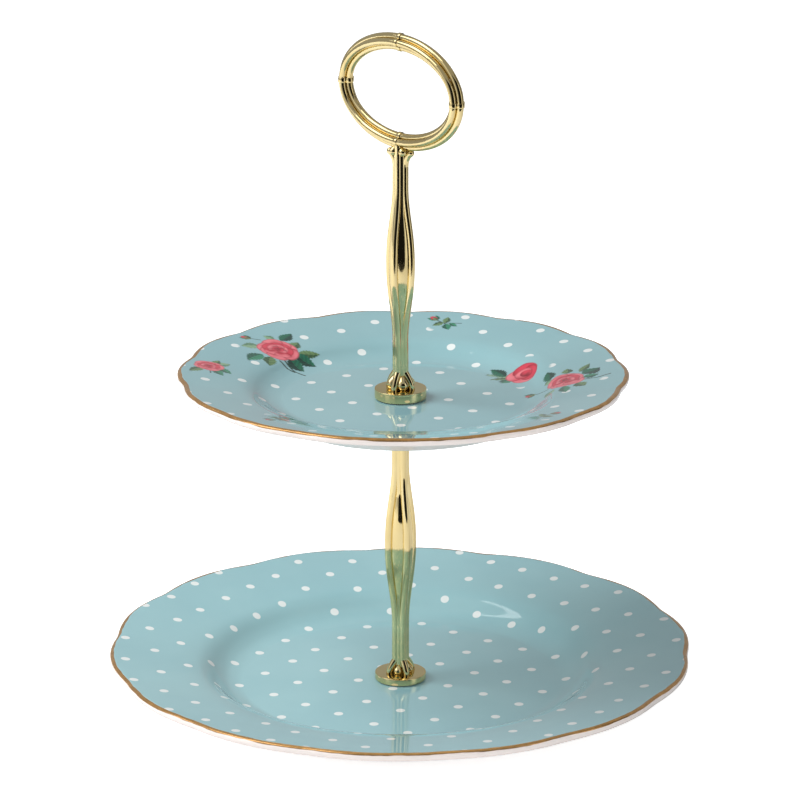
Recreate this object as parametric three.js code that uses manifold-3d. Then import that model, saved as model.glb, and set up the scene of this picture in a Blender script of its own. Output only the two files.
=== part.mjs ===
// A two-tier cake stand: two scalloped porcelain plates on a reeded metal pillar with an oval carrying ring.
// Millimetres, +Z up. The origin is on the pillar's axis, in the plane of the lower plate's foot.
// The carrying ring lies in the XZ plane, so a hand goes through it along Y.
import * as THREE from 'three';
import { mergeVertices } from 'three/addons/utils/BufferGeometryUtils.js';
import Module from 'manifold-3d';

const wasm = await Module();
wasm.setup();

// ---- driving dimensions ----------------------------------------------------------------------
const lowerPlate = {
  floorTop: 9.0, floorUnder: 5.4, wellRadius: 90, rimRadius: 134.4, lobeTurn: 3.4,
  drift: [0, 0],
  top: [[74, 9.0], [80, 10.1], [85, 12.8], [90, 17.0], [94, 19.3], [101, 21.2], [116, 23.8]],
  lip: [[132.6, 22.4], [133.9, 22.9], [134.4, 24.5], [134.1, 25.8], [133.0, 26.4]],
  under: [[76, 5.4], [76.4, 0], [79.4, 0], [80.6, 1.2], [83.6, 6.6], [88, 10.6], [92, 14.6],
    [97, 16.9], [112, 19.4]],
};
const upperPlate = {
  floorTop: 146.2, floorUnder: 142.8, wellRadius: 69, rimRadius: 102.1, lobeTurn: 20.1,
  drift: [0.8, 0.9],
  top: [[55, 146.2], [61, 147.3], [65.5, 149.3], [69, 151.7], [73, 153.4], [80, 155.0], [90, 157.0]],
  lip: [[100.3, 155.1], [101.6, 155.6], [102.1, 157.1], [101.8, 158.3], [100.7, 158.9]],
  under: [[54.4, 142.8], [55, 139.3], [58, 139.3], [59.4, 140.2], [63.2, 143.8], [67.2, 146.6], [71, 149.2],
    [76, 151.0], [88, 153.0]],
};
const lobeCount = 14;
const lobeDepth = 1.0;
const lobeLift = 0.25;
const lobeSoftness = 0.12;
const plateHole = 4.7;
const driftReach = 45;
const plateSteps = 56;

const threadRadius = 2.0;
const threadClearance = 2.35;
const screwEngagement = 10.9;
const discRadius = 11.9;
const gasketRadius = 11.2;
const seatGasket = 0.5;
const baseGasket = 0.8;
const baseWasher = 1.2;
const screwHead = { radius: 4.6, height: 2.4, slotWidth: 1.2, slotDepth: 1.1 };
const lowerDisc = 3.0;
const supportDisc = 2.5;
const upperDisc = 4.4;

const lowerColumn = { length: 127.3, neck: 1.78, bulge: 6.25, bulgeHalf: 39, bulgeShape: 1.1, turn: 75 };
const upperColumn = { length: 117.2, neck: 1.64, bulge: 5.67, bulgeHalf: 35.5, bulgeShape: 1.15, turn: 17 };
const reedCount = 4;
const coreOverNeck = 1.85;
const coreBehindReed = 0.45;
const claw = { height: 7.6, spread: 5.9, radius: 1.45, round: 1.3 };
const ball = { height: 2.2, spread: 3.6, radius: 3.1 };

const ring = { halfWidth: 36.2, halfHeight: 22.5, centreHeight: 289.0, rodRadius: 1.6, rodSpread: 2.25 };
const ringSteps = 48;
const ringSeatGap = 0.3;
const collar = { width: 2.8, proud: 0.45, gap: 0.1 };
const spigot = { radius: 1.9, bottom: 257.0, holeSpare: 0.5 };
const cutSpare = 1;
const holeSides = 16;
const discSides = 36;
const columnSides = 24;
const ringSides = 16;
const discEdge = 0.25;
const threadChamfer = 0.5;

// ---- heights that follow from the stack --------------------------------------------------------
const lowerDiscBottom = lowerPlate.floorTop + seatGasket;
const lowerColumnBottom = lowerDiscBottom + lowerDisc;
const baseGasketBottom = lowerPlate.floorUnder - baseGasket;
const baseWasherBottom = baseGasketBottom - baseWasher;
const lowerColumnTop = lowerColumnBottom + lowerColumn.length;
const upperDiscBottom = upperPlate.floorTop + seatGasket;
const upperColumnBottom = upperDiscBottom + upperDisc;
const upperColumnTop = upperColumnBottom + upperColumn.length;
const studBottom = lowerColumnTop - screwEngagement;
const threadHoleSpare = 1.2;
const deg = Math.PI / 180;

// ---- materials -----------------------------------------------------------------------------------
function finish(color, roughness, metalness) {
  return new THREE.MeshStandardMaterial({ color, roughness, metalness });
}

const glaze = finish(0x9ebfc7, 0.08, 0);
const gold = finish(0xe2cd8c, 0.14, 1);
const steel = finish(0xb9bab6, 0.3, 1);
const clearPlastic = finish(0xdfe6e4, 0.35, 0);
const nylon = finish(0xeeeee9, 0.5, 0);

// ---- shape helpers -------------------------------------------------------------------------------
function toSolid(geometry) {
  const bare = geometry.clone();
  bare.deleteAttribute('normal');
  bare.deleteAttribute('uv');
  const merged = mergeVertices(bare, 1e-4);
  const vertProperties = new Float32Array(merged.attributes.position.array);
  const triVerts = new Uint32Array(merged.index.array);
  return new wasm.Manifold(new wasm.Mesh({ numProp: 3, vertProperties, triVerts }));
}

function toGeometry(solid) {
  const mesh = solid.getMesh();
  const geometry = new THREE.BufferGeometry();
  geometry.setAttribute('position', new THREE.BufferAttribute(new Float32Array(mesh.vertProperties), 3));
  geometry.setIndex(new THREE.BufferAttribute(new Uint32Array(mesh.triVerts), 1));
  geometry.computeVertexNormals();
  return geometry;
}

function cut(geometry, ...tools) {
  return toGeometry(tools.reduce((solid, tool) => solid.subtract(toSolid(tool)), toSolid(geometry)));
}

function join(geometry, ...others) {
  return toGeometry(others.reduce((solid, other) => solid.add(toSolid(other)), toSolid(geometry)));
}

// A profile of [radius, height] points, in anticlockwise order, turned about Z.
function turned(points, sides) {
  const geometry = new THREE.LatheGeometry(points.map(([r, z]) => new THREE.Vector2(r, z)), sides);
  return geometry.rotateX(Math.PI / 2);
}

function rod(radius, bottom, top, sides = holeSides) {
  return turned([[0, bottom], [radius, bottom], [radius, top], [0, top]], sides);
}

// A flat turned piece with a bore.
function washer(bore, radius, bottom, top, sides = discSides) {
  return turned([[bore, bottom], [radius, bottom], [radius, top], [bore, top], [bore, bottom]], sides);
}

// The same with its two outer edges broken.
function disc(bore, radius, bottom, top) {
  return turned([
    [bore, bottom], [radius - discEdge, bottom], [radius, bottom + discEdge],
    [radius, top - discEdge], [radius - discEdge, top], [bore, top], [bore, bottom],
  ], discSides);
}

// Rings of points joined one to the next. An open row is closed at each end by a fan round its middle.
function skin(rings, closed) {
  const points = rings.flat();
  const index = [];
  const count = rings[0].length;
  const spans = closed ? rings.length : rings.length - 1;
  for (let i = 0; i < spans; i += 1) {
    const here = i * count;
    const next = ((i + 1) % rings.length) * count;
    for (let j = 0; j < count; j += 1) {
      const k = (j + 1) % count;
      index.push(here + j, here + k, next + k, here + j, next + k, next + j);
    }
  }
  if (!closed) {
    const last = (rings.length - 1) * count;
    const middle = (ring) => ring.reduce((sum, p) => sum.add(p), new THREE.Vector3()).divideScalar(count);
    const firstMiddle = points.push(middle(rings[0])) - 1;
    const lastMiddle = points.push(middle(rings.at(-1))) - 1;
    for (let j = 0; j < count; j += 1) {
      const k = (j + 1) % count;
      index.push(firstMiddle, k, j, lastMiddle, last + j, last + k);
    }
  }
  const geometry = new THREE.BufferGeometry().setFromPoints(points);
  geometry.setIndex(index);
  return geometry;
}

const smooth = (t) => {
  const x = Math.min(Math.max(t, 0), 1);
  return x * x * (3 - 2 * x);
};

// How far a round rod, its centre `spread` from the axis, reaches along a ray `offset` radians away.
function reach(offset, spread, radius) {
  const side = spread * Math.sin(offset);
  if (Math.abs(side) > radius || Math.cos(offset) < 0) return 0;
  return spread * Math.cos(offset) + Math.sqrt(radius * radius - side * side);
}

// The same for the nearest of several rods spaced evenly round the axis.
function bundleReach(angle, spread, radius) {
  const pitch = (2 * Math.PI) / reedCount;
  const offset = angle - Math.round(angle / pitch) * pitch;
  return reach(offset, spread, radius);
}

// ---- plates ----------------------------------------------------------------------------------------
// Rounded lobes between soft notches, one at the middle of each lobe and minus one at each notch.
function lobes(angle, turn) {
  const wave = Math.cos((angle - turn * deg) * (lobeCount / 2));
  return 2 * Math.sqrt(wave * wave + lobeSoftness * lobeSoftness) - 1;
}

// Outside the disc that it sits under, a plate's rim may stand a little off the pillar's axis.
function plate({ floorTop, floorUnder, wellRadius, rimRadius, lobeTurn, drift, top, lip, under }) {
  const outline = [[plateHole, floorUnder], ...under, ...lip, ...top.toReversed(), [plateHole, floorTop]];
  const geometry = turned([...outline, outline[0]], plateSteps);
  const position = geometry.attributes.position;
  for (let i = 0; i < position.count; i += 1) {
    const x = position.getX(i);
    const y = position.getY(i);
    const radius = Math.hypot(x, y);
    const share = smooth((radius - wellRadius) / (rimRadius - wellRadius));
    const wave = share * lobes(Math.atan2(y, x), lobeTurn);
    const stretch = 1 + (lobeDepth * wave) / radius;
    const off = smooth((radius - discRadius) / driftReach);
    const z = position.getZ(i) + lobeLift * wave;
    position.setXYZ(i, x * stretch + drift[0] * off, y * stretch + drift[1] * off, z);
  }
  return geometry;
}

// ---- pillar ----------------------------------------------------------------------------------------
// The section's radius at a height above the near end of a column and an angle from one reed.
function columnRadius(size, end, middle, angle) {
  const neckSpread = size.neck * Math.SQRT2;
  const along = Math.min(Math.abs(middle) / size.bulgeHalf, 1);
  const swell = Math.cos((Math.PI / 2) * along ** size.bulgeShape) ** 2;
  let spread = neckSpread + (size.bulge - neckSpread) * swell;
  let radius = size.neck;
  let core = Math.max(size.neck * coreOverNeck, spread - coreBehindReed);
  let filling = 0;
  if (end < claw.height) {
    const flare = Math.cos((Math.PI / 2) * (end / claw.height)) ** claw.round;
    spread += (claw.spread - spread) * flare;
    radius += (claw.radius - radius) * flare;
    const rise = end - ball.height;
    const ballSection = Math.sqrt(Math.max(ball.radius * ball.radius - rise * rise, 0));
    filling = bundleReach(angle + Math.PI / reedCount, ball.spread, ballSection);
  }
  return Math.max(core, filling, bundleReach(angle, spread, radius));
}

function column(size, bottom) {
  const fromEnd = [0, 1, 2.2, 3.4, 4.6, 5.6, 6.6, 7.6, 12];
  const middleSteps = 12;
  const firstMiddle = size.length / 2 - size.bulgeHalf;
  const heights = [...fromEnd];
  for (let i = 0; i <= middleSteps; i += 1) {
    heights.push(firstMiddle + (2 * size.bulgeHalf * i) / middleSteps);
  }
  heights.push(...fromEnd.map((h) => size.length - h).reverse());
  const rings = heights.map((height) => {
    const end = Math.min(height, size.length - height);
    const points = [];
    for (let j = 0; j < columnSides; j += 1) {
      const angle = (2 * Math.PI * j) / columnSides;
      const radius = columnRadius(size, end, height - size.length / 2, angle);
      const heading = angle + size.turn * deg;
      points.push(new THREE.Vector3(radius * Math.cos(heading), radius * Math.sin(heading), bottom + height));
    }
    return points;
  });
  return skin(rings, false);
}

// ---- carrying ring -----------------------------------------------------------------------------------
// The four-rod section swept along the oval between two angles, with its rods made thicker by `extra`.
function ringSweep(extra, from, to, steps) {
  const closed = to - from >= 2 * Math.PI;
  const rings = [];
  for (let i = 0; i < (closed ? steps : steps + 1); i += 1) {
    const t = from + ((to - from) * i) / steps;
    const centre = new THREE.Vector3(
      ring.halfWidth * Math.cos(t), 0, ring.centreHeight + ring.halfHeight * Math.sin(t));
    const outward = new THREE.Vector3(
      ring.halfHeight * Math.cos(t), 0, ring.halfWidth * Math.sin(t)).normalize();
    const sideways = new THREE.Vector3(0, 1, 0);
    const points = [];
    for (let j = 0; j < ringSides; j += 1) {
      const angle = (2 * Math.PI * j) / ringSides;
      const radius = bundleReach(angle, ring.rodSpread, ring.rodRadius + extra);
      points.push(centre.clone()
        .addScaledVector(outward, radius * Math.cos(angle))
        .addScaledVector(sideways, radius * Math.sin(angle)));
    }
    rings.push(points);
  }
  return skin(rings, closed);
}

const wholeRing = (extra) => ringSweep(extra, 0, 2 * Math.PI, ringSteps);

// A narrow band over the four rods, centred on one angle of the oval.
function ringBand(angle, extra, width) {
  const speed = Math.hypot(ring.halfWidth * Math.sin(angle), ring.halfHeight * Math.cos(angle));
  const half = width / 2 / speed;
  return ringSweep(extra, angle - half, angle + half, 2);
}

// The spigot leaves through the collar at the bottom of the oval.
function ringCollar(angle) {
  const spigotHole = rod(spigot.radius + ringSeatGap, spigot.bottom, ring.centreHeight - ring.halfHeight);
  return cut(ringBand(angle, collar.proud, collar.width), wholeRing(collar.gap), spigotHole);
}

// ---- the assembly -----------------------------------------------------------------------------------
const stand = new THREE.Group();

function add(name, geometry, material) {
  const mesh = new THREE.Mesh(geometry, material);
  mesh.name = name;
  stand.add(mesh);
}

// Lower tier: plate, the sleeve in its hole, and the fixing under it.
add('lower_plate', plate(lowerPlate), glaze);
const bushRadius = plateHole - 0.3;
const bushInset = 0.1;
add('lower_bush', washer(threadClearance, bushRadius, lowerPlate.floorUnder + bushInset,
  lowerPlate.floorTop - bushInset, holeSides), nylon);
add('lower_bottom_gasket', washer(threadClearance, gasketRadius, baseGasketBottom, lowerPlate.floorUnder),
  clearPlastic);
add('base_washer', disc(threadClearance, discRadius, baseWasherBottom, baseGasketBottom), gold);

const headBottom = baseWasherBottom - screwHead.height;
const screwTop = lowerColumnBottom + screwEngagement;
const screwBlank = turned([
  [0, headBottom], [screwHead.radius - threadChamfer, headBottom],
  [screwHead.radius, headBottom + threadChamfer], [screwHead.radius, baseWasherBottom],
  [threadRadius, baseWasherBottom],
  [threadRadius, screwTop - threadChamfer], [threadRadius - threadChamfer, screwTop], [0, screwTop],
], holeSides);
const slot = new THREE.BoxGeometry(screwHead.radius * 3, screwHead.slotWidth, screwHead.slotDepth * 2);
slot.translate(0, 0, headBottom);
add('base_screw', cut(screwBlank, slot), steel);

// Pillar: seat gasket and disc, the lower column, and the disc that carries the upper plate.
add('lower_top_gasket', washer(threadClearance, gasketRadius, lowerPlate.floorTop, lowerDiscBottom),
  clearPlastic);
add('lower_flange', disc(threadClearance, discRadius, lowerDiscBottom, lowerColumnBottom), gold);
const holeDepth = screwEngagement + threadHoleSpare;
add('lower_column', cut(
  column(lowerColumn, lowerColumnBottom),
  rod(threadClearance, lowerColumnBottom - cutSpare, lowerColumnBottom + holeDepth),
  rod(threadClearance, lowerColumnTop - holeDepth, lowerColumnTop + cutSpare),
), gold);
const supportTop = lowerColumnTop + supportDisc;
add('support_flange', disc(threadClearance, discRadius, lowerColumnTop, supportTop), gold);

// Upper tier: gaskets either side of the plate, and the sleeve in its hole.
add('upper_bottom_gasket', washer(threadClearance, gasketRadius, supportTop, upperPlate.floorUnder),
  clearPlastic);
add('upper_plate', plate(upperPlate), glaze);
add('upper_bush', washer(threadClearance, bushRadius, upperPlate.floorUnder + bushInset,
  upperPlate.floorTop - bushInset, holeSides), nylon);
add('upper_top_gasket', washer(threadClearance, gasketRadius, upperPlate.floorTop, upperDiscBottom),
  clearPlastic);

// Handle: disc, column, and the stud that screws into the lower column.
add('upper_flange', disc(threadClearance, discRadius, upperDiscBottom, upperColumnBottom), gold);
const studTop = upperColumnBottom + screwEngagement;
add('joining_stud', turned([
  [0, studBottom], [threadRadius - threadChamfer, studBottom], [threadRadius, studBottom + threadChamfer],
  [threadRadius, studTop - threadChamfer], [threadRadius - threadChamfer, studTop], [0, studTop],
], holeSides), steel);
const ringBottom = 1.5 * Math.PI;
const seatReach = 45 * deg;
const ringSeat = ringSweep(ringSeatGap, ringBottom - seatReach, ringBottom + seatReach, ringSteps / 4);
const collarSeat = ringBand(ringBottom, collar.proud + ringSeatGap, collar.width + 2 * ringSeatGap);
add('upper_column', cut(
  column(upperColumn, upperColumnBottom),
  rod(threadClearance, upperColumnBottom - cutSpare, upperColumnBottom + holeDepth),
  rod(spigot.radius + ringSeatGap, spigot.bottom - spigot.holeSpare, upperColumnTop + cutSpare),
  ringSeat,
  collarSeat,
), gold);

// Carrying ring with its spigot, and the four collars on it.
add('ring_handle', join(
  wholeRing(0),
  rod(spigot.radius, spigot.bottom, ring.centreHeight - ring.halfHeight),
), gold);
const collarPlaces = { right: 0, top: 90, left: 180, bottom: 270 };
for (const [place, angle] of Object.entries(collarPlaces)) {
  add(`ring_collar_${place}`, ringCollar(angle * deg), gold);
}

export default stand;
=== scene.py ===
# %% [markdown]
# # A two-tier cake stand
# Two scalloped porcelain plates sit on a reeded, gold-plated pillar with an oval carrying ring on top.
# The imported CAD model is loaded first. It says where everything is and how it moves. Each piece is then
# modelled again with the finer shape a close look needs, and stands in for its CAD node.

# %% Load the frame
import math

import bpy
import numpy as np
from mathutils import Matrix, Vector


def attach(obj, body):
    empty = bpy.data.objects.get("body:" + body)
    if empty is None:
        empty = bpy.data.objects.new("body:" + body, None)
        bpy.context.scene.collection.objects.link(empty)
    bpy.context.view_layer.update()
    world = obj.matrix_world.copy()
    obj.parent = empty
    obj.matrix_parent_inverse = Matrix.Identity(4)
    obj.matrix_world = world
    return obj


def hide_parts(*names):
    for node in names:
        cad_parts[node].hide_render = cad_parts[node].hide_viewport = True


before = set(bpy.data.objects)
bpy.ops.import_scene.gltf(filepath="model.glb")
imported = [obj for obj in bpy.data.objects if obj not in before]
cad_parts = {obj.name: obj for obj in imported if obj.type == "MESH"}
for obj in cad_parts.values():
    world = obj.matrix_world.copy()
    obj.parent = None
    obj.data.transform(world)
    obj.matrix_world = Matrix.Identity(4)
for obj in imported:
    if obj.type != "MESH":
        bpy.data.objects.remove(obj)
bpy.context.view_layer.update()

# %% [markdown]
# ## The bench
# Lengths are written in millimetres, as on a maker's drawing, and turned into metres as they are used.
# An operator acts on all that is selected, so everything is deselected before a new piece is begun.

# %% Small helpers
MM = 0.001
TURN = 2 * math.pi
MERGE = 1e-6
SMOOTH_ANGLE = math.radians(35)


def clear_bench():
    if bpy.context.object and bpy.context.object.mode != "OBJECT":
        bpy.ops.object.mode_set(mode="OBJECT")
    bpy.ops.object.select_all(action="DESELECT")


def hold(*pieces):
    clear_bench()
    for piece in pieces:
        piece.select_set(True)
    bpy.context.view_layer.objects.active = pieces[0]


def named(name):
    piece = bpy.context.object
    piece.name = name
    piece.data.name = name
    return piece


def metres(point):
    return [x * MM for x in point]


def close_skin():
    """Merges doubles and turns the faces outwards, then leaves edit mode."""
    bpy.ops.mesh.select_all(action="SELECT")
    bpy.ops.mesh.remove_doubles(threshold=MERGE)
    bpy.ops.mesh.normals_make_consistent(inside=False)
    bpy.ops.object.mode_set(mode="OBJECT")


def joined(name, pieces):
    hold(*pieces)
    if len(pieces) > 1:
        bpy.ops.object.join()
    bpy.ops.object.shade_smooth_by_angle(angle=SMOOTH_ANGLE)
    return named(name)


def points_of(piece):
    co = np.empty(len(piece.data.vertices) * 3)
    piece.data.vertices.foreach_get("co", co)
    return co.reshape(-1, 3) / MM


def set_points(piece, points):
    piece.data.vertices.foreach_set("co", (points * MM).ravel())
    piece.data.update()


# %% [markdown]
# ## Turning
# A plate, a disc and a washer are all turned shapes. One vertex is extruded along half of the section,
# and the chain is spun round the pillar's axis, which is what a potter's wheel or a lathe does.

# %% A lathe made of extrude and spin
def lay_chain(name, points):
    """A chain of (x, y, z) points, begun from a plane that is merged into one vertex."""
    clear_bench()
    bpy.ops.mesh.primitive_plane_add(size=MM, location=(0, 0, 0))
    piece = named(name)
    bpy.ops.object.mode_set(mode="EDIT")
    bpy.ops.mesh.merge(type="CENTER")
    bpy.ops.transform.translate(value=metres(points[0]))
    for here, there in zip(points, points[1:]):
        step = metres([b - a for a, b in zip(here, there)])
        bpy.ops.mesh.extrude_region_move(TRANSFORM_OT_translate={"value": step})
    return piece


def turn_on_lathe(name, profile, steps):
    """Spins a closed or axis-to-axis profile of (radius, height) points."""
    piece = lay_chain(name, [(r, 0, z) for r, z in profile])
    bpy.ops.mesh.select_all(action="SELECT")
    bpy.ops.mesh.spin(steps=steps, angle=TURN, center=(0, 0, 0), axis=(0, 0, 1))
    close_skin()
    return piece


def rising_curve(points):
    """A smooth curve through (x, z) points that never overshoots them, as a function of x."""
    x, z = np.array(sorted(points), float).T
    step = np.diff(x)
    slope = np.diff(z) / step
    tangent = np.zeros(len(x))
    inner = slope[:-1] * slope[1:] > 0
    mean = 2 * slope[:-1] * slope[1:] / np.where(inner, slope[:-1] + slope[1:], 1)
    tangent[1:-1] = np.where(inner, mean, 0)
    tangent[0], tangent[-1] = slope[0], slope[-1]

    def height(at):
        at = np.clip(at, x[0], x[-1])
        i = np.clip(np.searchsorted(x, at, side="right") - 1, 0, len(step) - 1)
        t = (at - x[i]) / step[i]
        rise = z[i] * (1 + 2 * t) * (1 - t) ** 2 + z[i + 1] * t * t * (3 - 2 * t)
        return rise + step[i] * (tangent[i] * t * (1 - t) ** 2 + tangent[i + 1] * t * t * (t - 1))

    return height


def round_bend(points, parts=5):
    """Points on a smooth bend through the given ones (a Catmull-Rom curve)."""
    p = [np.array(q, float) for q in (points[0], *points, points[-1])]
    bend = []
    for a, b, c, d in zip(p, p[1:], p[2:], p[3:]):
        for k in range(parts):
            t = k / parts
            bend.append(tuple(0.5 * (2 * b + (c - a) * t + (2 * a - 5 * b + 4 * c - d) * t**2
                                     + (3 * b - a - 3 * c + d) * t**3)))
    return bend + [tuple(points[-1])]


# %% [markdown]
# ## The plates
# Each plate is slip-cast porcelain: a flat well, an ogee wall, a broad rim with fourteen soft lobes and a
# foot ring underneath. The section is turned on the lathe first. The lobes are pressed in afterwards, as
# the plaster mould does, by moving every point of the rim outwards and up by a wave. Outside the disc that
# it sits under, the small plate also drifts sideways, so its rim stands a little off the pillar's axis.

# %% The plates' sections, in millimetres above the table
LOWER = {
    "floor": 9.0, "under_floor": 5.4, "well": 90, "rim": 134.4, "lobe_turn": 3.4, "drift": (0, 0),
    "top": [(74, 9.0), (80, 10.1), (85, 12.8), (90, 17.0), (94, 19.3), (101, 21.2), (116, 23.8),
            (133.0, 26.4)],
    "lip": [(132.6, 22.4), (133.9, 22.9), (134.4, 24.5), (134.1, 25.8), (133.0, 26.4)],
    "under": [(80.6, 1.2), (83.6, 6.6), (88, 10.6), (92, 14.6), (97, 16.9), (112, 19.4), (132.6, 22.4)],
    "foot": [(75.2, 5.4), (75.9, 5.0), (76.1, 0.7), (76.8, 0.0), (79.0, 0.0), (79.9, 0.4)],
}
UPPER = {
    "floor": 146.2, "under_floor": 142.8, "well": 69, "rim": 102.1, "lobe_turn": 20.1, "drift": (0.8, 0.9),
    "top": [(55, 146.2), (61, 147.3), (65.5, 149.3), (69, 151.7), (73, 153.4), (80, 155.0), (90, 157.0),
            (100.7, 158.9)],
    "lip": [(100.3, 155.1), (101.6, 155.6), (102.1, 157.1), (101.8, 158.3), (100.7, 158.9)],
    "under": [(59.4, 140.2), (63.2, 143.8), (67.2, 146.6), (71, 149.2), (76, 151.0), (88, 153.0),
              (100.3, 155.1)],
    "foot": [(54.0, 142.8), (54.6, 142.4), (54.8, 139.7), (55.3, 139.3), (57.7, 139.3), (58.6, 139.6)],
}
PLATE_HOLE = 4.7
LOBES = 14
LOBE_DEPTH = 1.0
LOBE_LIFT = 0.25
LOBE_SOFTNESS = 0.12
SPIN_STEPS = 336
SECTION_STEP = 1.3
HOLE_ROUND = 0.2
UNDERSIDE_RINGS = (20, 40)
FLOOR_RINGS = 9
DRIFT_FROM = 11.9
DRIFT_REACH = 45


def upper_face(plate):
    """The height of the plate's upper face, as a function of the radius."""
    return rising_curve([(PLATE_HOLE, plate["floor"]), *plate["top"]])


def plate_section(plate):
    """The closed half section, anticlockwise from the hole's lower edge."""
    top = upper_face(plate)
    under = rising_curve(plate["under"])
    first, last = plate["top"][0][0], plate["top"][-1][0]
    below = np.arange(plate["under"][0][0], plate["under"][-1][0] - SECTION_STEP, 2 * SECTION_STEP)
    above = np.arange(last, first, -SECTION_STEP)[1:]
    floor = np.linspace(first, PLATE_HOLE + 2 * HOLE_ROUND, FLOOR_RINGS)
    return [
        (PLATE_HOLE, plate["under_floor"] + HOLE_ROUND), (PLATE_HOLE + HOLE_ROUND, plate["under_floor"]),
        *[(r, plate["under_floor"]) for r in UNDERSIDE_RINGS], *plate["foot"],
        *[(r, float(under(r))) for r in below], *round_bend(plate["lip"]),
        *[(r, float(top(r))) for r in above], *[(r, plate["floor"]) for r in floor],
        (PLATE_HOLE, plate["floor"] - 2 * HOLE_ROUND), (PLATE_HOLE, plate["under_floor"] + HOLE_ROUND),
    ]


def smooth(t):
    t = np.clip(t, 0, 1)
    return t * t * (3 - 2 * t)


def lobe_wave(angle, turn):
    """One at the middle of each lobe and minus one in each notch, which is narrower."""
    return 2 * np.sqrt(np.cos((angle - math.radians(turn)) * LOBES / 2) ** 2 + LOBE_SOFTNESS**2) - 1


# %% Turn both plates and look at their size
def turned_plate(name, plate):
    piece = turn_on_lathe(name, plate_section(plate), SPIN_STEPS)
    print(name, "has", len(piece.data.vertices), "points")
    return piece


lower_plate = turned_plate("porcelain_lower_plate", LOWER)
upper_plate = turned_plate("porcelain_upper_plate", UPPER)

# %% [markdown]
# ## Painted sprays
# The small plate carries sprays of roses, printed as ceramic transfers under the last glaze. A transfer
# lies flat and is smoothed over the curved plate, so it is drawn here in flat coordinates: distance
# along the surface from the centre, and direction. The paint is stored on the plate's own points. That
# needs a fine mesh, but only where there is paint, so just those faces are subdivided.

# %% Where each spray lies: distance along the plate, direction, turn and size
SPRAYS = [
    {"kind": "full_rose", "along": 79.3, "azimuth": 186.3, "turn": 47, "reach": 23},
    {"kind": "small_rose", "along": 92.5, "azimuth": 217.7, "turn": 47, "reach": 14},
    {"kind": "tilted_rose", "along": 75.9, "azimuth": 49.3, "turn": 47, "reach": 22},
    {"kind": "young_rose", "along": 63.2, "azimuth": 75.5, "turn": 47, "reach": 18},
    {"kind": "bud_sprig", "along": 91.3, "azimuth": 124.5, "turn": 47, "reach": 11},
    {"kind": "bud_sprig", "along": 88.5, "azimuth": 3.0, "turn": -60, "reach": 11},
    {"kind": "bud_sprig", "along": 84.0, "azimuth": 275.0, "turn": 150, "reach": 11},
]


def flat_scale(plate):
    """Distance along the surface for each radius, as two rows of numbers."""
    top = upper_face(plate)
    radius = np.linspace(0, plate["rim"] + 2, 2000)
    height = top(radius)
    along = np.concatenate([[0], np.cumsum(np.hypot(np.diff(radius), np.diff(height)))])
    return radius, along


def flat_place(plate, points):
    """The transfer's flat coordinates of points on the plate, in millimetres."""
    radius, along = flat_scale(plate)
    r = np.hypot(points[:, 0], points[:, 1])
    stretch = np.interp(r, radius, along) / np.maximum(r, 1e-6)
    return points[:, :2] * stretch[:, None]


def spray_place(flat, spray):
    """Flat coordinates as seen from one spray's own middle and turn."""
    way, turn = math.radians(spray["azimuth"]), math.radians(spray["turn"])
    off = flat - spray["along"] * np.array([math.cos(way), math.sin(way)])
    return off @ np.array([[math.cos(turn), -math.sin(turn)], [math.sin(turn), math.cos(turn)]])


# %% Refine the mesh under the sprays
ON_FACE = 0.3
SPRAY_CUTS = 3


def refine_under_sprays(piece, plate):
    faces = piece.data.polygons
    centres = np.array([face.center for face in faces]) / MM
    flat = flat_place(plate, centres)
    r = np.hypot(centres[:, 0], centres[:, 1])
    top = upper_face(plate)
    upper_side = (abs(centres[:, 2] - top(r)) < ON_FACE) & (r < plate["top"][-1][0])
    chosen = np.zeros(len(faces), bool)
    for spray in SPRAYS:
        chosen |= upper_side & (np.hypot(*spray_place(flat, spray).T) < spray["reach"])
    before = len(piece.data.vertices)
    hold(piece)
    bpy.context.tool_settings.mesh_select_mode = (False, False, True)
    bpy.ops.object.mode_set(mode="EDIT")
    bpy.ops.mesh.select_all(action="DESELECT")
    bpy.ops.object.mode_set(mode="OBJECT")
    faces.foreach_set("select", chosen)
    bpy.ops.object.mode_set(mode="EDIT")
    bpy.ops.mesh.subdivide(number_cuts=SPRAY_CUTS)
    bpy.ops.object.mode_set(mode="OBJECT")
    bpy.context.tool_settings.mesh_select_mode = (True, False, False)
    points = points_of(piece)
    fresh = points[before:]
    fresh[:, 2] = top(np.hypot(fresh[:, 0], fresh[:, 1]))
    set_points(piece, points)
    print("subdivided", int(chosen.sum()), "faces, now", len(points), "points")


refine_under_sprays(upper_plate, UPPER)


# %% [markdown]
# The painter's strokes. Each stroke is a soft-edged shape laid over what is already there, as with a
# brush: leaves have a light and a dark half and a rib, petals go from deep pink at their root to pale
# pink at their edge, and a rose is three rings of petals round a dark heart.

# %% Paint and brush strokes
def ink(red, green, blue):
    """A display colour as the linear light that shaders use."""
    c = np.array([red, green, blue]) / 255
    return np.where(c <= 0.04045, c / 12.92, ((c + 0.055) / 1.055) ** 2.4)


LEAF_TONES = {
    "deep": (ink(0, 50, 40), ink(4, 112, 80)),
    "teal": (ink(0, 78, 60), ink(56, 146, 108)),
    "olive": (ink(44, 80, 48), ink(116, 148, 96)),
    "pale": (ink(84, 124, 96), ink(148, 182, 144)),
}
STEM = ink(34, 58, 46)
HEART = ink(132, 14, 34)
ROSE_DEEP = ink(178, 30, 52)
ROSE = ink(208, 58, 78)
ROSE_PALE = ink(232, 122, 132)
LEAF_FULLNESS = 1.18
EDGE = 0.22


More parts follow.
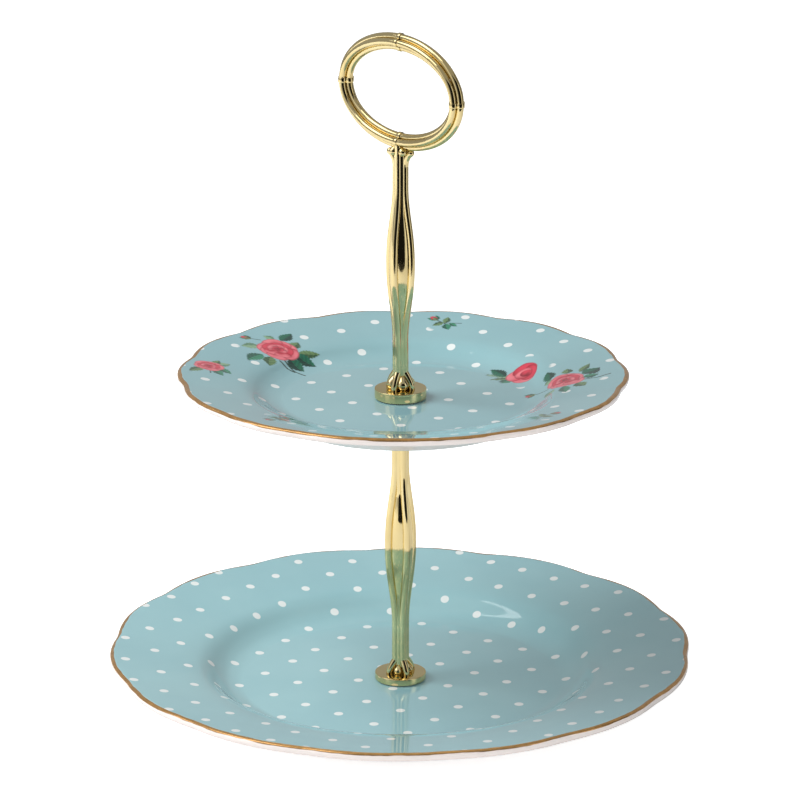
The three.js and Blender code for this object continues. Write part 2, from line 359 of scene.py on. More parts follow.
class Transfer:
    """The printed sheet: a colour and a cover at each point, in one spray's flat coordinates."""

    def __init__(self, flat):
        self.flat = flat
        self.colour = np.zeros((len(flat), 3))
        self.cover = np.zeros(len(flat))

    def lay(self, inside, colour):
        """inside is the distance in from the stroke's edge, in millimetres."""
        mask = smooth((inside + EDGE) / (2 * EDGE))
        total = mask + self.cover * (1 - mask)
        share = (mask / np.maximum(total, 1e-6))[:, None]
        self.colour = np.where(total[:, None] > 1e-4, colour * share + self.colour * (1 - share), self.colour)
        self.cover = total

    def leaf(self, base, tip, width, tone):
        base, tip = np.array(base, float), np.array(tip, float)
        length = np.linalg.norm(tip - base)
        way = (tip - base) / length
        off = self.flat - base
        t = off @ way / length
        side = off @ np.array([-way[1], way[0]]) + 0.08 * width * np.sin(3 * t)
        body = np.sin(math.pi * np.clip(t, 0, 1) ** 0.8)
        half = LEAF_FULLNESS * width / 2 * body * (1 + 0.12 * np.sin(t * length * 4.2))
        inside = np.where((t > 0) & (t < 1), half - abs(side), -np.hypot(side, np.minimum(t, 1 - t) * length))
        dark, light = LEAF_TONES[tone]
        vein = 0.5 + 0.5 * np.sin(t * length * 2.6 + abs(side) * 1.8)
        mix = np.clip(0.62 * smooth(side / (0.3 * width) + 0.4) + 0.34 * (vein - 0.4), 0, 1)[:, None]
        self.lay(inside, dark * (1 - mix) + light * mix)
        self.lay(np.where((t > 0.05) & (t < 0.9), 0.12 - abs(side), -1), light)

    def leaves(self, *strokes):
        for stroke in strokes:
            self.leaf(*stroke)

    def stem(self, points, width=0.8):
        for a, b in zip(points, points[1:]):
            a, b = np.array(a, float), np.array(b, float)
            t = np.clip((self.flat - a) @ (b - a) / ((b - a) @ (b - a)), 0, 1)
            self.lay(width / 2 - np.hypot(*(self.flat - a - t[:, None] * (b - a)).T), STEM)

    def petal(self, centre, size, way, root, edge):
        """An oval whose edge, on the side that way points to, is paler than its root."""
        turn = math.radians(way)
        out = np.array([math.cos(turn), math.sin(turn)])
        off = self.flat - np.array(centre, float)
        along, across = off @ out / size[0], off @ np.array([-out[1], out[0]]) / size[1]
        spread = np.hypot(along, across)
        mix = smooth(0.5 + 0.6 * along + 0.15 * np.sin(5 * across))[:, None]
        rim = smooth((spread - 0.80) / 0.16)[:, None] * 0.55
        shade = root * (1 - mix) + edge * mix
        self.lay((1 - spread) * min(size), shade * (1 - rim) + HEART * rim)

    def rose(self, centre, size, tilt=0.0, squash=1.0):
        rings = [(0.58, 0.50, 7, 12, ROSE_DEEP, ROSE_PALE), (0.40, 0.40, 6, 40, ROSE_DEEP, ROSE),
                 (0.25, 0.30, 5, 5, HEART, ROSE_PALE), (0.12, 0.20, 4, 50, HEART, ROSE),
                 (0.04, 0.11, 2, 20, HEART, ROSE_DEEP)]
        for reach, width, count, start, root, edge in rings:
            for k in range(count):
                way = start + tilt + 360 * k / count + 8 * math.sin(2.3 * k)
                far = reach * (1 + 0.13 * math.sin(1.9 * k + tilt))
                out = np.array([math.cos(math.radians(way)) * squash, math.sin(math.radians(way))])
                place = np.array(centre) + out * size * far
                self.petal(place, (size * width * 0.85, size * width * 1.1), way, root, edge)
        for lean, low in ((-0.22, -0.40), (0.26, -0.48)):
            brow = np.array(centre) + size * np.array([lean, low])
            self.petal(brow, (size * 0.22, size * 0.42), 270 + 40 * lean, ROSE_DEEP, ROSE_PALE)

    def bud(self, centre, way, size):
        turn = math.radians(way)
        out = np.array([math.cos(turn), math.sin(turn)])
        side = np.array([-out[1], out[0]])
        centre = np.array(centre, float)
        for lean in (-1, 1):
            self.leaf(centre - out * size, centre + out * size * 0.9 + side * lean * size, size, "teal")
        self.petal(centre, (size, size * 0.62), way, HEART, ROSE)
        self.leaf(centre - out * size * 1.2, centre + out * size * 0.5, size * 0.7, "olive")


# %% The five kinds of spray
def full_rose(sheet):
    sheet.stem([(4, -10), (9, -15), (14.5, -17.5)])
    sheet.stem([(1.5, -11.5), (6, -15), (9.5, -16)])
    sheet.stem([(-9, 8), (-14.5, 8.4)], 0.5)
    sheet.leaves(
        ((-3, -10), (-3, -19.5), 5.6, "olive"), ((-7, -9), (-13.5, -19), 6.2, "teal"),
        ((-9, 0.5), (-17, -3), 5.6, "pale"), ((-2, 10), (-7.5, 13), 3.6, "pale"),
        ((1, 10), (6.2, 19), 5.4, "deep"), ((6, 4), (9.5, 10.5), 5.2, "olive"),
        ((10, 0), (20.5, 4), 4.4, "olive"), ((8.5, -1.5), (19.5, -6), 6.6, "deep"),
        ((6, -6), (14, -13.2), 7.0, "deep"),
    )
    sheet.bud((-16.2, 8.6), 160, 2.4)
    sheet.rose((0, 0), 10.2, 10)


def small_rose(sheet):
    sheet.leaves(
        ((3, 4), (9.5, 7.5), 4.2, "pale"), ((1, 4), (4, 10), 3.6, "olive"), ((5, 0), (11, -6), 4.2, "teal"),
        ((3, -3), (7.5, -11), 4.0, "teal"), ((-2, -4), (-7.5, -12.5), 4.2, "olive"),
    )
    sheet.stem([(1, -4), (1.8, -10)], 0.6)
    sheet.rose((0, 0), 6.8, 35)


def tilted_rose(sheet):
    sheet.stem([(8.5, -4.5), (14, -5.6), (20, -3)])
    sheet.stem([(-9, -2), (-15, -1.4)], 0.5)
    sheet.leaves(
        ((-6, 7), (-10.5, 5.5), 4.2, "pale"), ((-7.5, 8), (-8, 18), 5.4, "deep"),
        ((1, 9), (1.5, 15.5), 4.6, "olive"), ((7, 8), (12.6, 17.5), 3.6, "olive"),
        ((8, 4), (16.5, 9), 7.6, "deep"), ((8, -1), (15, -0.5), 5.0, "teal"),
        ((5, -8), (8.5, -15), 5.4, "olive"), ((-1, -9), (-0.5, -20), 4.6, "teal"),
        ((-6, -8), (-11, -12.5), 4.6, "pale"),
    )
    sheet.bud((-17.8, -1.6), 200, 2.4)
    sheet.rose((0, 0), 9.4, 55, 0.88)


def young_rose(sheet):
    sheet.leaves(
        ((-6, 1), (-17, 6.5), 3.8, "pale"), ((-8, 2), (-14.5, 12.5), 5.2, "deep"),
        ((-6, -1), (-15, -1.5), 3.8, "olive"), ((-6, -2), (-10, -7.5), 4.6, "teal"),
    )
    sheet.petal((0.4, -4.2), (4.2, 5.6), 280, ROSE, ROSE_PALE)
    sheet.petal((-3.4, 0.5), (4.4, 5.6), 160, ROSE, ROSE_PALE)
    sheet.petal((1.8, 2.8), (5.4, 6.4), 70, ROSE_DEEP, ROSE)
    sheet.petal((3.4, -0.6), (4.2, 6.0), 340, ROSE_DEEP, ROSE)
    sheet.petal((0.8, 0.2), (4.2, 4.6), 120, ROSE_DEEP, ROSE_PALE)
    sheet.petal((2.0, 0.0), (2.6, 3.2), 60, HEART, ROSE)


def bud_sprig(sheet):
    sheet.stem([(-4, 3), (0, -1), (1.5, -3)], 0.6)
    sheet.stem([(0, -1), (8.6, -2.2)], 0.5)
    sheet.leaves(
        ((0, -0.5), (-5.5, -3.2), 3.0, "olive"), ((0.5, -1), (2.2, 5), 3.2, "olive"),
        ((1, -2), (2.4, -8), 3.8, "teal"), ((3, -1.5), (6.4, -5), 2.4, "teal"),
    )
    sheet.bud((-4.6, 4.4), 120, 2.5)


KINDS = {kind.__name__: kind for kind in (full_rose, small_rose, tilted_rose, young_rose, bud_sprig)}


# %% [markdown]
# Each plate now gets its lobes, its flat map for the printed dots, and three notes on its points that the
# glaze will read: the spray's colour and cover, where dots are left out, and the gap to the rim's lip.

# %% Press the lobes in and store the map and the paint
def middle_height(plate, radius):
    """Half way between the two faces of the porcelain."""
    top, under = upper_face(plate), rising_curve(plate["under"])
    floor = (plate["floor"] + plate["under_floor"]) / 2
    return np.where(radius < plate["foot"][0][0], floor, (top(radius) + under(radius)) / 2)


BARE_SHARE = 0.80
MAP_SCALE = 10.0


def dress_plate(piece, plate, sprays):
    points = points_of(piece)
    flat = flat_place(plate, points)
    paint = np.zeros((len(points), 4))
    bare = np.zeros(len(points))
    for spray in sprays:
        place = spray_place(flat, spray)
        near = np.hypot(*place.T) < spray["reach"] + 1
        sheet = Transfer(place[near])
        KINDS[spray["kind"]](sheet)
        kept = sheet.cover > paint[near, 3]
        rows = np.flatnonzero(near)[kept]
        paint[rows, :3] = sheet.colour[kept]
        paint[rows, 3] = sheet.cover[kept]
        bare = np.maximum(bare, smooth((BARE_SHARE * spray["reach"] - np.hypot(*place.T)) / 2 + 0.5))
    radius = np.hypot(points[:, 0], points[:, 1])
    angle = np.arctan2(points[:, 1], points[:, 0])
    side = np.where(points[:, 2] > middle_height(plate, radius), 1, -1)
    lip_gap = side * np.hypot(plate["rim"] - radius, points[:, 2] - plate["lip"][2][1])
    share = smooth((radius - plate["well"]) / (plate["rim"] - plate["well"]))
    wave = share * lobe_wave(angle, plate["lobe_turn"])
    points[:, :2] *= (1 + LOBE_DEPTH * wave / radius)[:, None]
    points[:, 2] += LOBE_LIFT * wave
    off_centre = smooth((radius - DRIFT_FROM) / DRIFT_REACH)[:, None]
    points[:, :2] += np.array(plate["drift"]) * off_centre
    set_points(piece, points)
    mesh = piece.data
    mesh.color_attributes.new("spray", "FLOAT_COLOR", "POINT").data.foreach_set("color", paint.ravel())
    mesh.attributes.new("bare", "FLOAT", "POINT").data.foreach_set("value", bare)
    mesh.attributes.new("lip_gap", "FLOAT", "POINT").data.foreach_set("value", lip_gap)
    corners = np.empty(len(mesh.loops), int)
    mesh.loops.foreach_get("vertex_index", corners)
    mesh.uv_layers.new(name="transfer").data.foreach_set("uv", (flat[corners] * MM * MAP_SCALE).ravel())
    hold(piece)
    bpy.ops.object.shade_smooth_by_angle(angle=SMOOTH_ANGLE)


dress_plate(lower_plate, LOWER, [])
dress_plate(upper_plate, UPPER, SPRAYS)

# %% [markdown]
# ## Discs, washers and gaskets
# The pillar presses on each plate through a turned disc, with a thin clear gasket between metal and
# glaze. A disc's edges are broken with a small round so that it catches a line of light.

# %% Turned discs
BORE = 2.35
DISC_RADIUS = 11.9
GASKET_RADIUS = 11.2
DISC_STEPS = 128


def turned_disc(name, bottom, top, edge=0.28, radius=DISC_RADIUS):
    bends = [(math.sin(a), 1 - math.cos(a)) for a in np.linspace(0, math.pi / 2, 5)]
    low = [(radius - edge + edge * s, bottom + edge * c) for s, c in bends]
    high = [(r, top + bottom - z) for r, z in reversed(low)]
    flat = [(BORE, bottom), (radius * 0.6, bottom)], [(radius * 0.6, top), (BORE, top), (BORE, bottom)]
    return joined(name, [turn_on_lathe(name, [*flat[0], *low, *high, *flat[1]], DISC_STEPS)])


LOWER_DISC = (9.5, 12.5)
SUPPORT_DISC = (139.8, 142.3)
UPPER_DISC = (146.7, 151.1)
BASE_WASHER = (3.4, 4.6)
THIN_EDGE = 0.2
lower_disc = turned_disc("lower_seat_disc", *LOWER_DISC)
support_disc = turned_disc("support_disc", *SUPPORT_DISC)
upper_disc = turned_disc("upper_seat_disc", *UPPER_DISC)
base_washer = turned_disc("base_washer_disc", *BASE_WASHER, THIN_EDGE)
FREE_PLAY = 0.03
GASKETS = [
    ("below_lower_plate", 4.6, 5.4, "lower_bottom_gasket", "base_fixing"),
    ("on_lower_plate", 9.0, 9.5, "lower_top_gasket", "pillar_seat"),
    ("below_upper_plate", 142.3, 142.8, "upper_bottom_gasket", "pillar"),
    ("on_upper_plate", 146.2, 146.7, "upper_top_gasket", "handle_seat"),
]
gaskets = []
for place, bottom, top, node, body in GASKETS:
    gasket = turned_disc(f"gasket_{place}", bottom + FREE_PLAY, top - FREE_PLAY, THIN_EDGE, GASKET_RADIUS)
    gaskets.append((gasket, node, body))
print("discs and gaskets:", 4 + len(gaskets))


# %% [markdown]
# Nylon sleeves centre the threads in the drilled plates.

# %% Sleeves
BUSH = {"radius": 4.4, "lead": 0.25, "steps": 48, "lower": (5.5, 8.9), "upper": (142.9, 146.1)}


def turned_sleeve(name, bottom, top):
    radius, lead = BUSH["radius"], BUSH["lead"]
    profile = [(BORE, bottom), (radius - lead, bottom), (radius, bottom + lead), (radius, top - lead),
               (radius - lead, top), (BORE, top), (BORE, bottom)]
    return joined(name, [turn_on_lathe(name, profile, BUSH["steps"])])


lower_sleeve = turned_sleeve("lower_plate_sleeve", *BUSH["lower"])
upper_sleeve = turned_sleeve("upper_plate_sleeve", *BUSH["upper"])

# %% [markdown]
# ## Threads
# The stud and the base screw are M4 with a pitch of 0.7 mm. A thread is one small triangle that climbs
# round the core, which the Screw modifier does. Its two ends are then closed.

# %% A threaded rod
THREAD = {"outer": 2.0, "root": 1.6, "pitch": 0.7, "chamfer": 0.3, "foot": 0.32, "crest": 0.05}
STUD = (128.9, 162.0)
BASE_SCREW = (3.2, 23.4)
ROD_STEPS = 32


def threaded_rod(name, bottom, top):
    outer, root, pitch, chamfer, foot, crest = THREAD.values()
    profile = [(0, bottom), (root - chamfer, bottom), (root, bottom + chamfer), (root, top - chamfer),
               (root - chamfer, top), (0, top)]
    core = turn_on_lathe(name, profile, ROD_STEPS)
    start = bottom + pitch
    inner = root - 0.1
    ridge = lay_chain(name + "_ridge", [(inner, 0, start - foot), (outer, 0, start - crest),
                                        (outer, 0, start + crest), (inner, 0, start + foot)])
    bpy.ops.mesh.select_all(action="SELECT")
    bpy.ops.mesh.edge_face_add()
    bpy.ops.mesh.delete(type="ONLY_FACE")
    bpy.ops.object.mode_set(mode="OBJECT")
    screw = ridge.modifiers.new("thread", "SCREW")
    screw.screw_offset = pitch * MM
    screw.iterations = int((top - bottom) / pitch - 2)
    screw.steps = screw.render_steps = 24
    screw.use_merge_vertices = False
    hold(ridge)
    bpy.ops.object.modifier_apply(modifier="thread")
    bpy.ops.object.mode_set(mode="EDIT")
    bpy.ops.mesh.select_all(action="SELECT")
    bpy.ops.mesh.remove_doubles(threshold=MERGE)
    bpy.ops.mesh.select_all(action="DESELECT")
    bpy.ops.mesh.select_non_manifold()
    bpy.ops.mesh.edge_face_add()
    close_skin()
    return [core, ridge]


stud = joined("threaded_stud", threaded_rod("stud_core", *STUD))


# %% The base screw: a thread under a slotted cheese head
HEAD = {"radius": 4.6, "bottom": 1.0, "top": 3.4, "slot_width": 1.2, "slot_depth": 1.1, "steps": 64}


def slotted_head():
    r, low, high = HEAD["radius"], HEAD["bottom"], HEAD["top"]
    profile = [(0, low), (r - 0.5, low), (r - 0.15, low + 0.15), (r, low + 0.5), (r, high - 0.1),
               (r - 0.1, high), (0, high)]
    head = turn_on_lathe("cheese_head", profile, HEAD["steps"])
    clear_bench()
    bpy.ops.mesh.primitive_cube_add(size=MM, location=(0, 0, low * MM))
    cutter = named("slot_cutter")
    cutter.scale = (r * 3, HEAD["slot_width"], HEAD["slot_depth"] * 2)
    bpy.ops.object.transform_apply(location=True, rotation=True, scale=True)
    cut = head.modifiers.new("slot", "BOOLEAN")
    cut.operation = "DIFFERENCE"
    cut.object = cutter
    hold(head)
    bpy.ops.object.modifier_apply(modifier="slot")
    bpy.data.objects.remove(cutter)
    return head


base_screw = joined("slotted_base_screw", [slotted_head(), *threaded_rod("screw_core", *BASE_SCREW)])

# %% [markdown]
# ## The pillar
# Each half of the pillar is a bundle of four round reeds round a core. The reeds lie close at the necks,
# swell apart in the middle and curl out into claws at the ends, with a polished ball between each two.
# A reed is a circle extruded station by station up its bent line, turned and scaled on the way.

# %% Sweep a round section up a bent line
def sweep(name, stations, sides=18):
    """Stations are (x, z, heading, radius): heading is the line's lean from upright, towards +X."""
    x, z, heading, radius = stations[0]
    clear_bench()
    bpy.ops.mesh.primitive_circle_add(vertices=sides, radius=radius * MM, fill_type="NGON",
                                      location=(x * MM, 0, z * MM), rotation=(0, heading, 0))
    rod = named(name)
    bpy.ops.object.transform_apply(location=True, rotation=True, scale=True)
    bpy.ops.object.mode_set(mode="EDIT")
    for (x0, z0, h0, r0), (x1, z1, h1, r1) in zip(stations, stations[1:]):
        step = metres((x1 - x0, 0, z1 - z0))
        bpy.ops.mesh.extrude_region_move(TRANSFORM_OT_translate={"value": step})
        middle = metres((x1, 0, z1))
        bpy.ops.transform.rotate(value=h0 - h1, orient_axis="Y", orient_type="GLOBAL", center_override=middle)
        bpy.ops.transform.resize(value=(r1 / r0,) * 3, center_override=middle)
    close_skin()
    return rod


def stations_along(line, radii):
    """Adds the heading to each (x, z) point of a line."""
    line = np.array(line, float)
    way = np.gradient(line, axis=0)
    heading = np.unwrap(np.arctan2(way[:, 0], way[:, 1]))
    return [(x, z, h, r) for (x, z), h, r in zip(line, heading, radii)]


def copy_turned(piece, degrees):
    """A copy with its own mesh, turned round the pillar's axis."""
    hold(piece)
    bpy.ops.object.duplicate()
    copy = bpy.context.object
    bpy.context.view_layer.objects.active = copy
    copy.rotation_euler = (0, 0, math.radians(degrees))
    bpy.ops.object.transform_apply(location=False, rotation=True, scale=False)
    return copy


# %% The line of a reed
LOWER_COLUMN = {"bottom": 12.5, "length": 127.3, "neck": 1.78, "bulge": 6.25, "half": 39, "shape": 1.1,
                "turn": 75, "claw": 6.2}
UPPER_COLUMN = {"bottom": 151.1, "length": 117.2, "neck": 1.64, "bulge": 5.67, "half": 35.5, "shape": 1.15,
                "turn": 17, "claw": 7.6}
CLAW = {"spread": 5.9, "radius": 1.45, "round": 0.95}
CORE_OVER_NECK = 1.85
CORE_BEHIND_REED = 0.45
CORE_BORE = 12.1
CORE_STOP = 4
CORE_RINGS = 60
CORE_STEPS = 48
END_REACH = 9


def swelling(column, height):
    """How far the reeds' centres stand from the axis, away from the claws."""
    neck = column["neck"] * math.sqrt(2)
    along = min(abs(height - column["length"] / 2) / column["half"], 1)
    return neck + (column["bulge"] - neck) * math.cos(math.pi / 2 * along ** column["shape"]) ** 2


def reed_line(column, top_claw=True):
    line, radii = [], []
    length = column["length"]
    ends = list(np.arange(0, END_REACH, 0.6))
    middle = list(np.arange(END_REACH + 0.6, length - END_REACH, 2))
    heights = ends + middle + [length - h for h in reversed(ends)]
    for height in heights:
        spread, radius = swelling(column, height), column["neck"]
        end = min(height, length - height)
        if end < column["claw"] and (top_claw or height < length / 2):
            flare = math.cos(math.pi / 2 * end / column["claw"]) ** CLAW["round"]
            spread += (CLAW["spread"] - spread) * flare
            radius += (CLAW["radius"] - radius) * flare
        line.append((spread, column["bottom"] + height))
        radii.append(radius)
    return line, radii


def column_core(name, column, bored_top):
    """A bored spindle that fills the bundle a little way behind the reeds."""
    bottom, length = column["bottom"], column["length"]
    narrow = column["neck"] * CORE_OVER_NECK
    heights = np.linspace(0, length if bored_top else length - CORE_STOP, CORE_RINGS)
    side = [(max(narrow, swelling(column, h) - CORE_BEHIND_REED), bottom + h) for h in heights]
    foot = [(0, bottom + CORE_BORE), (BORE, bottom + CORE_BORE), (BORE, bottom)]
    top = bottom + length
    head = [(0, top - CORE_STOP)]
    if bored_top:
        head = [(BORE, top), (BORE, top - CORE_BORE), (0, top - CORE_BORE)]
    return turn_on_lathe(name, [*foot, *side, *head], CORE_STEPS)


def claw_ball(spread, height, radius, azimuth):
    """A polished ball, drawn up a little into a drop where it meets the neck."""
    clear_bench()
    way = math.radians(azimuth)
    bpy.ops.mesh.primitive_uv_sphere_add(segments=28, ring_count=18, radius=radius * MM, location=metres(
        (spread * math.cos(way), spread * math.sin(way), height)))
    piece = named("ball")
    bpy.ops.object.transform_apply(location=True, rotation=True, scale=True)
    points = points_of(piece)
    rise = np.clip((points[:, 2] - height) / radius, 0, 1)
    lean = (rise**2 * 0.35)[:, None]
    points[:, :2] = points[:, :2] * (1 - lean)
    points[:, 2] += rise**2 * radius * 0.5
    set_points(piece, points)
    return piece


# %% The lower half of the pillar
def bundle(name, column, reeds, extras):
    """Four reeds, two of each kind given, with the other pieces of the casting."""
    parts = []
    for k in range(4):
        parts.append(copy_turned(reeds[k % 2], column["turn"] + 90 * k))
    for reed in dict.fromkeys(reeds):
        bpy.data.objects.remove(reed)
    return joined(name, parts + extras)


BALLS = {  # how far from the column's end and from the axis, and how large
    "lower_foot": (1.7, 4.3, 1.9), "lower_head": (2.6, 4.3, 1.9),
    "upper_foot": (2.3, 3.9, 2.9), "upper_head": (6.2, 3.5, 1.9),
}


def ball_ring(column, place):
    from_end, spread, radius = BALLS[place]
    top = column["bottom"] + column["length"]
    height = top - from_end if place.endswith("head") else column["bottom"] + from_end
    return [claw_ball(spread, height, radius, column["turn"] + 45 + 90 * k) for k in range(4)]


lower_reed = sweep("lower_reed", stations_along(*reed_line(LOWER_COLUMN)))
lower_column = bundle("reeded_lower_pillar", LOWER_COLUMN, [lower_reed, lower_reed], [
    column_core("lower_core", LOWER_COLUMN, True),
    *ball_ring(LOWER_COLUMN, "lower_foot"), *ball_ring(LOWER_COLUMN, "lower_head"),
])
print("lower pillar has", len(lower_column.data.polygons), "faces")

# %% [markdown]
# The upper half ends under the carrying ring. Two of its claws stand up in front of and behind the ring,
# and the two others curl out under it and end in round knobs.

# %% The upper half of the pillar
UPPER_TOP = UPPER_COLUMN["bottom"] + UPPER_COLUMN["length"]


def rounded_end(line, radii, steps=6):
    """Carries the last station on into a half ball."""
    (x0, z0), (x1, z1) = line[-2:]
    length = math.hypot(x1 - x0, z1 - z0)
    way = ((x1 - x0) / length, (z1 - z0) / length)
    radius = radii[-1]
    for k in range(1, steps + 1):
        t = math.sin(math.pi / 2 * k / steps)
        line.append((x1 + way[0] * radius * t, z1 + way[1] * radius * t))
        radii.append(max(radius * math.sqrt(1 - t * t), 0.03))
    return line, radii


def reed_to(tip_line, tip_radius):
    """The upper reed up to its neck, then on through the given bend."""
    line, radii = reed_line(UPPER_COLUMN, top_claw=False)
    keep = [i for i, (x, z) in enumerate(line) if z < tip_line[0][1] - 0.5]
    line, radii = [line[i] for i in keep], [radii[i] for i in keep]
    bend = round_bend([line[-1], *tip_line], 6)[1:]
    neck = radii[-1]
    blend = [neck + (tip_radius - neck) * smooth(k / len(bend)) for k in range(1, len(bend) + 1)]
    return rounded_end(line + bend, radii + [float(b) for b in blend])


neck_spread = UPPER_COLUMN["neck"] * math.sqrt(2)
KNOB_BEND = [(neck_spread, -13), (2.7, -10.6), (3.9, -8.2), (5.3, -6.9)]
TALL_BEND = [(neck_spread, -11), (neck_spread, -7), (neck_spread + 0.1, -3.2)]


def bent_reed(name, bend, tip_radius):
    """A reed that ends in the given bend, whose heights count from the column's top."""
    line, radii = reed_to([(x, UPPER_TOP + z) for x, z in bend], tip_radius)
    return sweep(name, stations_along(line, radii))


knob_reed = bent_reed("knob_reed", KNOB_BEND, 1.65)
tall_reed = bent_reed("tall_reed", TALL_BEND, 1.6)
upper_column = bundle("reeded_upper_pillar", UPPER_COLUMN, [knob_reed, tall_reed], [
    column_core("upper_core", UPPER_COLUMN, False),
    *ball_ring(UPPER_COLUMN, "upper_foot"), *ball_ring(UPPER_COLUMN, "upper_head"),
])
print("upper pillar has", len(upper_column.data.polygons), "faces")

# %% [markdown]
# ## The carrying ring
# The ring is a bundle of four bent rods: one in front, one behind, one outside and one inside, soldered
# side by side. Narrow sleeves at the top, the bottom and both sides look like binding.

# %% Bend the four rods
RING = {"half_width": 36.2, "half_height": 22.5, "centre": 289.0, "rod": 1.6, "spread": 2.25}
RING_STATIONS = 300
RING_SIDES = 20
SPIGOT = {"radius": 1.9, "tip": 0.3, "bottom": 257.0, "top": 266.4, "steps": 32}


def ring_place(t, outward):
    """A point of the oval, moved outwards, with its heading from upright."""
    x, z = RING["half_width"] * math.cos(t), RING["half_height"] * math.sin(t)
    normal = Vector((RING["half_height"] * math.cos(t), RING["half_width"] * math.sin(t))).normalized()
    way = math.atan2(-RING["half_width"] * math.sin(t), RING["half_height"] * math.cos(t))
    return x + normal.x * outward, RING["centre"] + z + normal.y * outward, way


def slide_across(piece, distance):
    """Moves a piece's points along Y, and stays in edit mode with all of them selected."""
    hold(piece)
    bpy.ops.object.mode_set(mode="EDIT")
    bpy.ops.mesh.select_all(action="SELECT")
    bpy.ops.transform.translate(value=(0, distance * MM, 0))


def bent_rod(name, outward, sideways):
    stations = []
    for k in range(RING_STATIONS):
        x, z, way = ring_place(TURN * k / RING_STATIONS, outward)
        while stations and way - stations[-1][2] > math.pi:
            way -= TURN
        stations.append((x, z, way, RING["rod"]))
    first = stations[0]
    stations.append((first[0], first[1], first[2] - TURN, first[3]))
    rod = sweep(name, stations, RING_SIDES)
    slide_across(rod, sideways)
    bpy.ops.mesh.remove_doubles(threshold=2e-5)
    bpy.ops.mesh.select_all(action="DESELECT")
    bpy.ops.mesh.select_face_by_sides(number=RING_SIDES, type="EQUAL")
    bpy.ops.mesh.delete(type="ONLY_FACE")
    close_skin()
    return rod


ring_rods = [
    bent_rod("front_rod", 0, -RING["spread"]), bent_rod("back_rod", 0, RING["spread"]),
    bent_rod("outer_rod", RING["spread"], 0), bent_rod("inner_rod", -RING["spread"], 0),
]


def turned_spigot():
    radius, tip, low, high, steps = SPIGOT.values()
    profile = [(0, low), (radius - tip, low), (radius, low + tip), (radius, high), (0, high)]
    return turn_on_lathe("ring_spigot", profile, steps)


spigot = turned_spigot()
ring = joined("four_rod_ring", ring_rods + [spigot])
print("ring has", len(ring.data.polygons), "faces")

# %% Binding sleeves
SLEEVE = {"width": 2.2, "inner": 1.7, "lip": 1.84, "shoulder": 1.93, "radius": 1.98, "edge": 0.3, "sides": 28}


def binding(name, angle):
    """Four short sleeves, one on each rod, at one angle of the oval."""
    sleeves = []
    for outward, sideways in ((0, -1), (0, 1), (1, 0), (-1, 0)):
        x, z, way = ring_place(angle, outward * RING["spread"])
        half, edge = SLEEVE["width"] / 2, SLEEVE["edge"]
        shape = [(-half, SLEEVE["inner"]), (-half, SLEEVE["lip"]), (-half + 0.1, SLEEVE["shoulder"]),
                 (-half + edge, SLEEVE["radius"])]
        shape += [(-along, r) for along, r in reversed(shape)]
        lean = (math.sin(way), math.cos(way))
        stations = [(x + lean[0] * along, z + lean[1] * along, way, r) for along, r in shape]
        sleeve = sweep(name, stations, SLEEVE["sides"])
        slide_across(sleeve, sideways * RING["spread"])
        bpy.ops.object.mode_set(mode="OBJECT")
        sleeves.append(sleeve)
    return joined(name, sleeves)


bindings = {place: binding(f"ring_binding_{place}", math.radians(angle))
            for place, angle in {"right": 0, "top": 90, "left": 180, "bottom": 270}.items()}


# %% [markdown]
# ## Finishes
# A finish is a small graph of nodes. Patterns read the object's own coordinates, or the plate's map, so
# they stay on the piece however it moves.

# %% A helper that starts a finish
def start_finish(name, **settings):
    finish = bpy.data.materials.new(name)
    finish.use_nodes = True
    tree = finish.node_tree
    shader = tree.nodes["Principled BSDF"]
    for socket, value in settings.items():
        shader.inputs[socket.replace("_", " ")].default_value = value
    return finish, tree, shader


def plug(tree, socket, value):
    """Gives a socket a wire from another socket, or a plain value."""
    if isinstance(value, bpy.types.NodeSocket):
        tree.links.new(value, socket)
    else:
        socket.default_value = value


def add_node(tree, kind, inputs=None, **properties):
    node = tree.nodes.new("ShaderNode" + kind)
    for key, value in properties.items():
        setattr(node, key, value)
    for key, value in (inputs or {}).items():
        plug(tree, node.inputs[key], value)
    return node


def noise(tree, scale, detail):
    place = add_node(tree, "TexCoord").outputs["Object"]
    return add_node(tree, "TexNoise", {"Vector": place, "Scale": scale, "Detail": detail}).outputs["Fac"]


def spread_value(tree, source, low, high, start=0.3, end=0.7):
    """A pattern's values from start to end, spread smoothly from low to high."""
    inputs = {"Value": source, "From Min": start, "From Max": end, "To Min": low, "To Max": high}
    return add_node(tree, "MapRange", inputs, interpolation_type="SMOOTHSTEP").outputs["Result"]


def mix_colours(tree, factor, one, other):
    node = add_node(tree, "Mix", data_type="RGBA")
    colours = [socket for socket in node.inputs if socket.type == "RGBA"]
    for socket, value in ((node.inputs[0], factor), (colours[0], one), (colours[1], other)):
        plug(tree, socket, value)
    return next(socket for socket in node.outputs if socket.type == "RGBA")


def math_node(tree, operation, one, other=0.0):
    return add_node(tree, "Math", {0: one, 1: other}, operation=operation).outputs[0]


def vector_node(tree, operation, one, other=(0, 0, 0), output="Vector"):
    return add_node(tree, "VectorMath", {0: one, 1: other}, operation=operation).outputs[output]


def rgba(colour):
    return (*[float(c) for c in colour], 1.0)


def emboss(tree, shader, scale, detail, strength, depth):
    """A fine relief, too shallow to model."""
    relief = {"Height": noise(tree, scale, detail), "Strength": strength, "Distance": depth}
    bump = add_node(tree, "Bump", relief)
    plug(tree, shader.inputs["Normal"], bump.outputs["Normal"])


